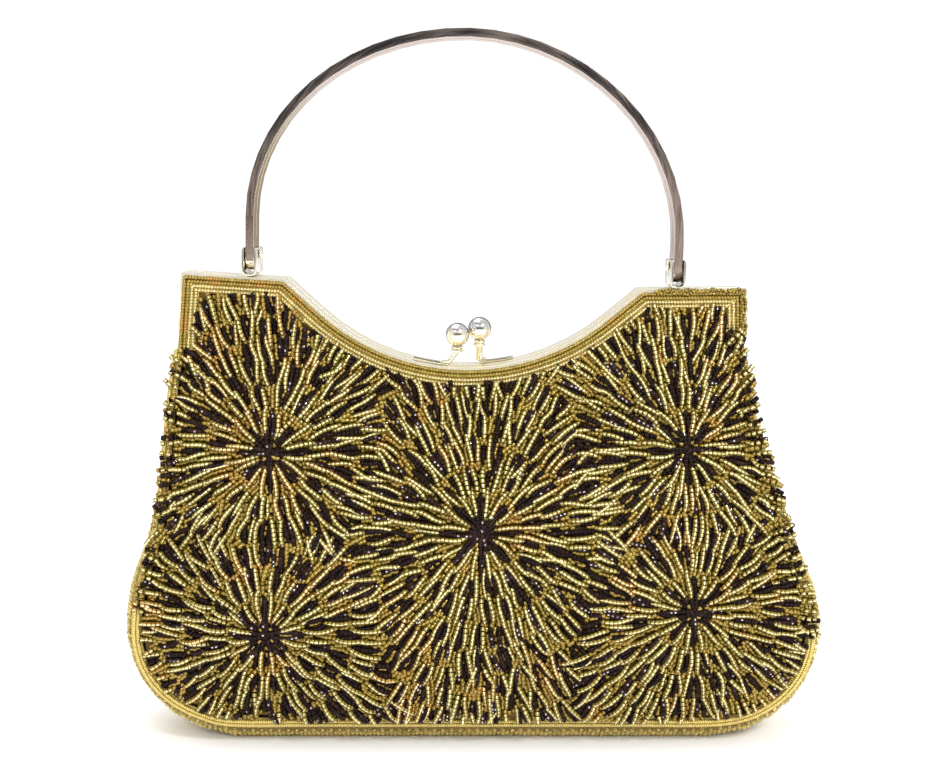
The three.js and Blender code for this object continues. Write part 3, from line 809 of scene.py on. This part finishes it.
for name, side_sign in (("front", -1), ("back", 1)):
    strands = []
    for strand in piping_strands:
        turn = math.radians(strand["turn"])
        line = piping_line.copy()
        along = np.gradient(line, axis=0)
        along /= np.linalg.norm(along, axis=1, keepdims=True)
        outward = np.stack((along[:, 2], 0 * along[:, 0], -along[:, 0]), -1)
        outs = math.cos(turn) * np.array((0, -1, 0)) + math.sin(turn) * outward
        line += piping_spread * outs
        line[:, 1] *= -side_sign
        outs[:, 1] *= -side_sign
        strands.append(tube(f"{name}_piping_strand", line, outs, strand["lay"], wound_cord))
    finished(joined(f"{name}_piping", strands), "bag", "piping", f"edge_piping_{name}")


# Trim of the mouth.
# Four rows of small beads are couched on a braid along the metal's edge and follow its corners:
# two amber ones, the first of them lapping over the metal, and two bright ones inside them.
pin_height = 0.0073
frame_half_width = 0.1015
frame_half_depth = 0.008
shoulder_width = 0.0371
shoulder_drop = 0.0014
dip_depth = 0.0302
dip_slope = math.radians(41)
leg_length = 0.028
leg_flare = math.radians(4)
trim_rows = (
    {"inset": 0.0015, "tray": "amber"},
    {"inset": 0.0029, "tray": "amber"},
    {"inset": 0.0044, "tray": "gold"},
    {"inset": 0.0059, "tray": "gold"},
)
trim_middle = (0.46, 0.35, 0.11, 1)
# The paler trim colour is a painted highlight along the beads' tops.
trim_painted_highlight = (0.84, 0.71, 0.37, 1)
trim_girth = 0.00155
trim_girth_spread = 0.05
trim_pitch = 0.00108
trim_ends_above = 0.0008
braid_inlay = 0.0004
small_bead_share = 0.93
hinge = frame["joints"][0]
frame_x = np.array(hinge["axis"])
frame_z = np.array((-frame_x[2], 0, frame_x[0]))
frame_middle = np.array(hinge["pos_m"]) - pin_height * frame_z


def on_frame(x, depth, z):
    """A place given in the leaning frame's own directions, in the row's."""
    x, z = np.asarray(x, float), np.asarray(z, float)
    return (frame_middle + x[..., None] * frame_x + z[..., None] * frame_z
            + np.asarray(depth, float)[..., None] * np.array((0, 1, 0)))


def mouth_line(inset, leg_end):
    """The mouth's outline at a distance inside the metal's edge, as x and z, left to right."""
    slope_run = (frame_half_width - shoulder_width) * math.tan(dip_slope) - dip_depth
    arc_half = slope_run / (math.tan(dip_slope) - math.tan(dip_slope / 2))
    radius = arc_half / math.sin(dip_slope)
    arc_middle = radius - shoulder_drop - dip_depth
    shoulder_angle = math.atan2(shoulder_drop, shoulder_width)
    corner_z = -inset / math.cos(shoulder_angle) - shoulder_angle * inset
    corner_x = frame_half_width - inset / math.cos(leg_flare) - corner_z * math.tan(leg_flare)
    foot = (corner_x + (leg_end + corner_z) * math.tan(leg_flare), -leg_end)
    angles = np.linspace(0, dip_slope, 60)
    arc_x = (radius + inset) * np.sin(angles)
    arc_z = arc_middle - (radius + inset) * np.cos(angles)
    x_hip = frame_half_width - shoulder_width
    reach = np.linspace(arc_x[-1], x_hip + 0.01, 200)
    slope_z = arc_z[-1] + (reach - arc_x[-1]) * math.tan(dip_slope)
    shoulder_z = -shoulder_drop * (frame_half_width - reach) / shoulder_width
    shoulder_z -= inset / math.cos(shoulder_angle)
    last = int(np.argmax(slope_z > shoulder_z))
    right_x = np.concatenate((arc_x, reach[last:last + 1], [corner_x], [foot[0]]))
    right_z = np.concatenate((arc_z, shoulder_z[last:last + 1], [corner_z], [foot[1]]))
    x = np.concatenate((-right_x[::-1], right_x[1:]))
    z = np.concatenate((right_z[::-1], right_z[1:]))
    return x, z


braid_cloth = Finish("braid_cloth", Roughness=0.7, Metallic=0.2)
braid_cloth.drive("Base Color", braid_cloth.mix(
    braid_cloth.between(braid_cloth.noise(0.0012), 0.35, 0.65), thread_deep, thread_gold))
braid_cloth.bump(braid_cloth.noise(0.0006), 0.6, 0.0003)

trim_beads = silver_lined_painted_light("trim_beads", rope_painted_shade, trim_middle, trim_painted_highlight, gold_green, rope_middle)
for name, side_sign in (("front", -1), ("back", 1)):
    braid = copy_of_node(f"mouth_trim_{name}", f"{name}_braid", braid_cloth)
    bpy.ops.object.mode_set(mode="EDIT")
    bpy.ops.mesh.select_all(action="SELECT")
    bpy.ops.transform.shrink_fatten(value=-braid_inlay)
    bpy.ops.object.mode_set(mode="OBJECT")
    finished(braid, "bag", "braid", f"mouth_trim_{name}")
    trays = {"amber": Tray(), "gold": Tray()}
    dice = np.random.default_rng(17 if side_sign < 0 else 18)
    for row in trim_rows:
        x, z = mouth_line(row["inset"], leg_length - trim_ends_above)
        depth = np.full_like(x, side_sign * frame_half_depth)
        places, alongs = evenly(on_frame(x, depth, z), trim_pitch)
        count = len(places)
        outs = np.tile(np.array((0.0, side_sign, 0.0)), (count, 1))
        girth = trim_girth * (1 + trim_girth_spread * dice.normal(size=count))
        tones = dice.random(count)
        trays[row["tray"]].put(places, alongs, outs, girth, trim_pitch * small_bead_share, tones)
    finished(trays["amber"].sewn(f"{name}_trim_amber_row", amber_beads), "bag", "braid")
    finished(trays["gold"].sewn(f"{name}_trim_gold_rows", trim_beads), "bag", "braid")


# Loose loops of the beading.
# On the right shoulder two rows of small olive beads have slipped over the metal's edge. They lie
# across it in uneven loops and hang on down the leg.
loops_from = 0.069
loops_above = -0.016
loop_rows = (
    {"inset": 0.0002, "swing": 0.00024, "period": 0.0083},
    {"inset": 0.0011, "swing": 0.00034, "period": 0.0121},
)
loop_ripple = {"swing": 0.8, "period": 0.37}
loop_proud = 0.0006
loop_girth = 0.00118
loop_pitch = 0.00118
loop_tumble = {"out": 0.3, "along": 0.25}

loop_tray = Tray()
loop_dice = np.random.default_rng(21)
for row in loop_rows:
    x, z = mouth_line(row["inset"], leg_length)
    depth = np.full_like(x, -frame_half_depth - loop_proud)
    places, alongs = evenly(on_frame(x, depth, z), loop_pitch)
    reach = places - frame_middle
    kept = (reach @ frame_x > loops_from) & (reach @ frame_z > loops_above)
    places, alongs = places[kept], alongs[kept]
    count = len(places)
    run = loop_pitch * np.arange(count)
    phase = 2 * np.pi * loop_dice.random(2)
    wave = np.sin(2 * np.pi * run / row["period"] + phase[0])
    ripple = np.sin(2 * np.pi * run / (loop_ripple["period"] * row["period"]) + phase[1])
    swing = row["swing"] * (wave + loop_ripple["swing"] * ripple)
    places += swing[:, None] * np.cross(alongs, (0, 1, 0))
    outs = np.array((0.0, -1.0, 0.0)) + loop_tumble["out"] * loop_dice.normal(size=(count, 3))
    alongs = alongs + loop_tumble["along"] * loop_dice.normal(size=(count, 3))
    tones = loop_dice.random(count)
    loop_tray.put(places, alongs, outs, loop_girth, loop_pitch * small_bead_share, tones)
finished(loop_tray.sewn("front_slipped_loops", amber_beads), "bag", "braid")


# Frame, brackets and rivets.
# The two halves of the frame are channels of polished pale gold sheet. The brackets are folded
# strips soldered on top, and domed rivets hold the handle and hinge the frame.
edge_rounding = 0.00022
bracket_rounding = 0.00015
rivet_rounding = 0.0001
plate_pale = (0.86, 0.80, 0.62, 1)
plate_deep = (0.76, 0.67, 0.45, 1)

pale_gold = Finish("pale_gold_plate", Metallic=0.65)
wear = pale_gold.between(pale_gold.noise(0.009, 5.0), 0.42, 0.7)
pale_gold.drive("Base Color", pale_gold.mix(wear, plate_pale, plate_deep))
pale_gold.drive("Roughness", 0.24 + 0.14 * wear)
pale_gold.bump(pale_gold.noise(0.0011, 4.0), 0.04, 0.0002)


def polished(node, name, finish, body, slot, rounding, segments=2):
    """A metal piece as packed, with its edges rounded off."""
    piece = copy_of_node(node, name, finish)
    edge = piece.modifiers.new("rounded_edges", "BEVEL")
    edge.width = rounding
    edge.segments = segments
    edge.limit_method = "ANGLE"
    edge.angle_limit = math.radians(30)
    bpy.ops.object.modifier_apply(modifier=edge.name)
    bpy.ops.object.shade_smooth_by_angle(angle=math.radians(35))
    return finished(piece, body, slot, node)


bracket_pale = (0.88, 0.85, 0.72, 1)
bracket_grey = (0.60, 0.56, 0.44, 1)
nickel = Finish("bracket_nickel", Metallic=1.0)
tarnish = nickel.between(nickel.noise(0.003, 4.0), 0.45, 0.7)
nickel.drive("Base Color", nickel.mix(tarnish, bracket_pale, bracket_grey))
nickel.drive("Roughness", 0.15 + 0.2 * tarnish)
for name in ("front", "back"):
    polished(f"{name}_frame", f"{name}_frame_channel", pale_gold, "bag", "frame_metal", edge_rounding)
for name in ("left", "right"):
    polished(f"frame_hinge_{name}", f"frame_rivet_{name}", pale_gold, "bag", "frame_metal", rivet_rounding)
    polished(f"handle_bracket_{name}", f"bracket_{name}", nickel, "bag", "frame_metal", bracket_rounding)
    polished(f"handle_rivet_{name}", f"pin_{name}", nickel, "bag", "frame_metal", rivet_rounding)


# Kiss-lock.
# Two polished balls snap past each other. Each is soldered with a double collar to a bent stalk,
# whose flat foot is soldered along the top of its half of the frame.
# The warm colour is a painted reflection of the gold beads and frame, used low down on each clasp; the grey
# is the silver's own.
chrome_grey = (0.62, 0.61, 0.605, 1)
chrome_painted_gold_reflection = (0.93, 0.86, 0.64, 1)
silver_rim = (0.30, 0.29, 0.30, 1)
painted_reflection_below, painted_reflection_fades_above = 0.1490, 0.1555
clasp_rounding = 0.0001

silver = Finish("silver_plate", Metallic=1.0, Roughness=0.05, Specular_Tint=silver_rim)
ball_height = silver.node("ShaderNodeSeparateXYZ", None, {0: silver.place()}, "Z")
clouded_height = ball_height + 0.002 * silver.noise(0.004)
# Painted reflection: warm gold low down on each clasp, fading into grey silver above it.
silver.drive("Base Color", silver.mix(
    silver.between(clouded_height, painted_reflection_below, painted_reflection_fades_above), chrome_painted_gold_reflection, chrome_grey))
for name in ("front", "back"):
    polished(f"clasp_{name}", f"kiss_lock_{name}", silver, "bag", "clasp_metal", clasp_rounding)


# Handle.
# An arch bent from a flat steel band, 12 mm deep and 3 mm thick, with a seam groove along its
# inside. The plating is streaked on the edges and browner near the feet. Light is painted on its
# faces as on lit and shaded copies of one plating: the edges are dark, a painted reflection of a
# dark room; the inner faces are khaki, pale pink on the right and near the top, painted reflections
# of the white table and the light; the bevels are cream on the left and lower down, a painted highlight.
handle_rounding = 0.00026
streak_stretch = 0.005
arch_middle_height = 0.02
foot_from, foot_to = 0.19, 0.235
pink_reflection_across, pink_reflection_above = (-0.03, 0.06), (0.215, 0.245)
seam_across = (0.00025, 0.0005)
flat_side = 0.2
flat_front = 0.94
turned_inward = 0.3
# The dark and brown edge colours below stand as a painted reflection of a dark room, with the band's real
# streaks; the khaki and pink colours are painted reflections on the inner faces, and the cream one a painted
# highlight on the bevels.
band_dark = (0.095, 0.084, 0.082, 1)
band_brown = (0.20, 0.165, 0.145, 1)
foot_dark = (0.21, 0.155, 0.13, 1)
foot_brown = (0.36, 0.28, 0.235, 1)
band_painted_khaki_reflection = (0.27, 0.205, 0.11, 1)
band_painted_rose_reflection = (0.72, 0.64, 0.62, 1)
band_painted_cream_highlight = (0.95, 0.87, 0.70, 1)
band_seam = (0.30, 0.24, 0.23, 1)
band_rim = (0.80, 0.74, 0.66, 1)

worn_band_painted_light = Finish("worn_band_painted_light", Metallic=1.0, Specular_Tint=band_rim)
arc_and_ring = {0: worn_band_painted_light.painted("arc"), 1: worn_band_painted_light.painted("ring")}
streak = worn_band_painted_light.node("ShaderNodeCombineXYZ", None, arc_and_ring)
scratches = worn_band_painted_light.noise(0.0008, 6.0, along=streak)
mottle = worn_band_painted_light.between(0.7 * scratches + 0.45 * worn_band_painted_light.noise(0.03), 0.42, 0.80)
spot = {0: worn_band_painted_light.place()}
across = worn_band_painted_light.node("ShaderNodeSeparateXYZ", None, spot, "X")
deep = worn_band_painted_light.node("ShaderNodeSeparateXYZ", None, spot, "Y")
upward = worn_band_painted_light.node("ShaderNodeSeparateXYZ", None, spot, "Z")
# Painted reflection: the edges take these dark streaked colours, standing for the dark room they mirror;
# browner near the feet.
foot_colour = worn_band_painted_light.mix(mottle, foot_dark, foot_brown)
top_colour = worn_band_painted_light.mix(mottle, band_dark, band_brown)
edge_colour = worn_band_painted_light.mix(worn_band_painted_light.between(upward, foot_from, foot_to), foot_colour, top_colour)
# Painted reflections on the inner faces: khaki, turning pale pink on the right and near the top. The bevels
# carry a painted cream highlight on the left and lower down, and the seam's grey on the right and near the
# top.
pink_reflection_side = worn_band_painted_light.between(across, *pink_reflection_across)
pink_reflection_side = pink_reflection_side.maths("MAXIMUM", worn_band_painted_light.between(upward, *pink_reflection_above))
seam = 1 - worn_band_painted_light.between(deep.maths("ABSOLUTE"), *seam_across)
inner_colour = worn_band_painted_light.mix(seam, worn_band_painted_light.mix(pink_reflection_side, band_painted_khaki_reflection, band_painted_rose_reflection), band_seam)
bevel_colour = worn_band_painted_light.mix(pink_reflection_side, band_painted_cream_highlight, band_seam)
face_colour = worn_band_painted_light.mix(worn_band_painted_light.painted("inside"), edge_colour, inner_colour)
worn_band_painted_light.drive("Base Color", worn_band_painted_light.mix(worn_band_painted_light.painted("bevel"), face_colour, bevel_colour))
worn_band_painted_light.drive("Roughness", 0.2 + 0.25 * mottle)
worn_band_painted_light.bump(worn_band_painted_light.noise(0.0008, 4.0), 0.04, 0.0002)

handle = polished("handle", "handle_band", worn_band_painted_light, "handle", "handle_metal", handle_rounding, 3)
arch_middle = Vector((frame_middle[0], 0, frame_middle[2] + arch_middle_height))
faces = handle.data.polygons
turned = np.array([abs(face.normal.y) for face in faces])
inward = np.array([face.normal.dot((arch_middle - face.center).normalized()) for face in faces])
inward = inward > turned_inward
arcs = []
rings = []
for vertex in handle.data.vertices:
    ray = vertex.co - arch_middle
    arcs.append(streak_stretch * math.atan2(ray.z, ray.x))
    rings.append(math.hypot(ray.x, ray.z) + ray.y)
handle.data.attributes.new("arc", "FLOAT", "POINT").data.foreach_set("value", arcs)
handle.data.attributes.new("ring", "FLOAT", "POINT").data.foreach_set("value", rings)
paint = {"inside": inward & (turned <= flat_side), "bevel": (turned > flat_side) & (turned < flat_front)}
for name, painted in paint.items():
    handle.data.attributes.new(name, "FLOAT", "FACE").data.foreach_set("value", painted.astype(float))


# Floor, light and camera.
# The bag stands on a plain pale table in a soft white studio, seen from the front and a
# little above its frame.
studio_white = (0.97, 0.97, 0.98, 1)
room_bright = 1.1
room_front = 0.25
room_front_up_to = (0.2, 0.5)
room_front_across = (-0.92, -0.6)
room_back = 0.72
room_back_across = (0.35, 0.75)
beam_dimming = 0.75
beam_from = (0.70, 0.74)
beam_to = (0.82, 0.86)
beam_across = (-0.15, -0.05)
camera_place = (0.0, -0.459, 0.201)
camera_pitch = math.radians(8.6)
photo_width_px = 945
photo_focal_px = 1253
photo_shift_px = 1.5
sensor_width = 36

bpy.ops.object.select_all(action="DESELECT")
bpy.ops.mesh.primitive_plane_add(size=8, location=(0, 0, 0))
table = bpy.context.object
table.name = "table"
paper = Finish("white_paper", Roughness=0.8, Specular_IOR_Level=0.0)
paper.drive("Base Color", (0.96, 0.96, 0.97, 1))
table.data.materials.append(paper.material)


class Studio(Finish):
    """The room round the table, built with the same node method on the world's Background."""

    def __init__(self, name, colour):
        self.world = bpy.data.worlds.new(name)
        self.world.use_nodes = True
        self.tree = self.world.node_tree
        self.shader = self.tree.nodes["Background"]
        self.shader.inputs["Color"].default_value = colour
        bpy.context.scene.world = self.world

    def seen_white(self, strength):
        """A plain white backdrop for the camera alone."""
        white = self.node("ShaderNodeBackground", None, {"Color": (1, 1, 1, 1), "Strength": strength})
        for_camera = self.node("ShaderNodeLightPath", output="Is Camera Ray")
        either = self.node("ShaderNodeMixShader", None, {0: for_camera, 2: white})
        self.feed(either.socket.node.inputs[1], Wire(self, self.shader.outputs[0]))
        self.feed(self.tree.nodes["World Output"].inputs["Surface"], either)


studio = Studio("studio", studio_white)
towards = studio.node("ShaderNodeTexCoord", output="Generated")
depthwise, upwards = (studio.node("ShaderNodeSeparateXYZ", None, {0: towards}, axis) for axis in "YZ")
in_front = 1 - studio.between(depthwise, *room_front_across)
low_down = 1 - studio.between(upwards, *room_front_up_to)
behind = studio.between(depthwise, *room_back_across)
beam = studio.between(upwards, *beam_from) * (1 - studio.between(upwards, *beam_to))
beam = beam * (1 - studio.between(depthwise, *beam_across))
in_gloss = studio.node("ShaderNodeLightPath", output="Is Glossy Ray")
gloss_dimming = (room_bright - room_back) * behind + beam_dimming * beam
level = room_bright - (room_bright - room_front) * in_front * low_down
studio.drive("Strength", level - gloss_dimming * in_gloss)
studio.seen_white(room_bright)


def soft_light(name, place, aim, size, power):
    light = bpy.data.lights.new(name, "AREA")
    light.shape = "RECTANGLE"
    light.size, light.size_y = size
    light.energy = power
    lamp = bpy.data.objects.new(name, light)
    bpy.context.collection.objects.link(lamp)
    lamp.location = place
    lamp.rotation_euler = (Vector(aim) - Vector(place)).to_track_quat("-Z", "Y").to_euler()


soft_light("key_light", (0.7, -0.9, 1.1), (0, 0, 0.1), (0.3, 0.3), 11)
soft_light("top_light", (-0.3, 0.2, 1.2), (0, 0, 0.1), (0.9, 0.9), 6)
soft_light("right_spark", (0.45, -1.0, 0.75), (0, 0, 0.1), (0.07, 0.07), 1.6)
soft_light("left_spark", (-0.5, -0.9, 0.9), (0, 0, 0.1), (0.07, 0.07), 1.3)

camera = bpy.data.objects.new("camera", bpy.data.cameras.new("camera"))
bpy.context.collection.objects.link(camera)
camera.location = camera_place
camera.rotation_euler = (math.pi / 2 - camera_pitch, 0, 0)
camera.data.sensor_width = sensor_width
camera.data.lens = sensor_width * photo_focal_px / photo_width_px
camera.data.shift_x = photo_shift_px / photo_width_px
camera.data.clip_start = 0.01
bpy.context.scene.camera = camera
bpy.context.scene.view_settings.view_transform = "Standard"
